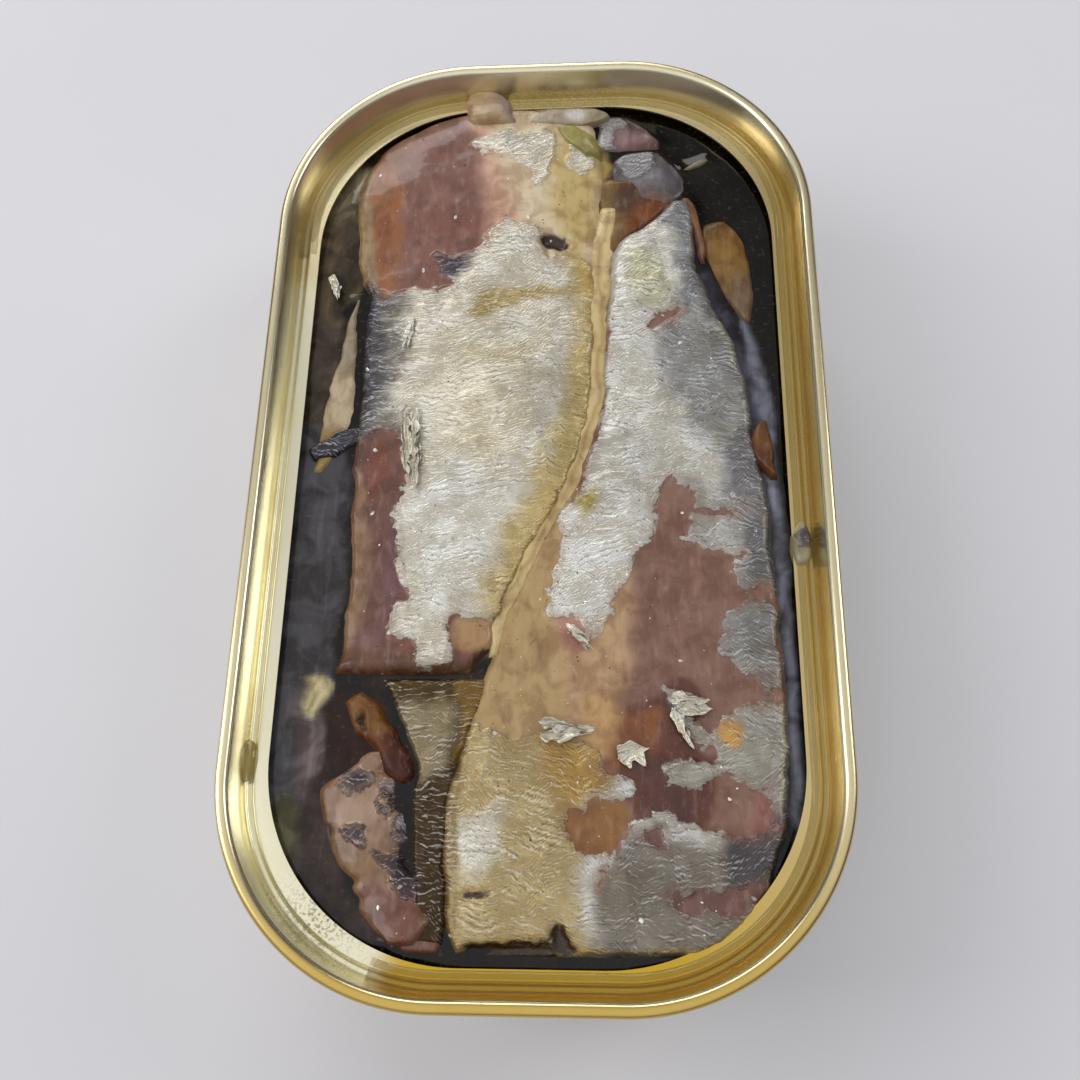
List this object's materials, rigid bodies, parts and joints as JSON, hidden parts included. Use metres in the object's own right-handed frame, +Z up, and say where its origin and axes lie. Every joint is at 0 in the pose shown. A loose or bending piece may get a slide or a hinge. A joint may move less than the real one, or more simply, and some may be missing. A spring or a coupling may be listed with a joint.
{
  "type": "opened sardine tin",
  "caption": "Opened flat tin of sardines in oil: a drawn body, a seamed end with its panel torn out, headless fish on their flanks, loose scraps and oil up to just under the lip.",
  "frame": {"origin": "middle of the tin's base, on the surface it stands on", "axes": "+Z up, +Y along the tin, +X across it"},
  "size_m": [0.0598, 0.1046, 0.028],
  "materials": {
    "tinplate_gold": "tinplate under a thin gold lacquer, satin, lightly scuffed",
    "oil": "clear yellow oil with bits of skin and flesh",
    "fish_skin": "silver skin, wrinkled like foil, wet with oil",
    "fish_flesh": "soft cooked flesh, wet with oil",
    "clove": "cooked, translucent, oily",
    "spice": "cooked, wet with oil"
  },
  "bodies": {
    "root": {"can_body": "tinplate_gold", "end_ring": "tinplate_gold", "oil": "oil", "rim_oil": "oil", "sardine_left": "fish_skin", "sardine_right": "fish_skin", "sardine_lower": "fish_skin", "flesh_scrap": "fish_flesh", "side_strip": "fish_flesh", "grey_tail_piece": "fish_skin", "silver_tail_piece": "fish_skin", "brown_flesh": "fish_flesh", "clove": "clove", "spice_strip": "spice", "flake_on_rim": "fish_flesh", "skin_on_lip": "fish_skin"}
  },
  "joints": []
}
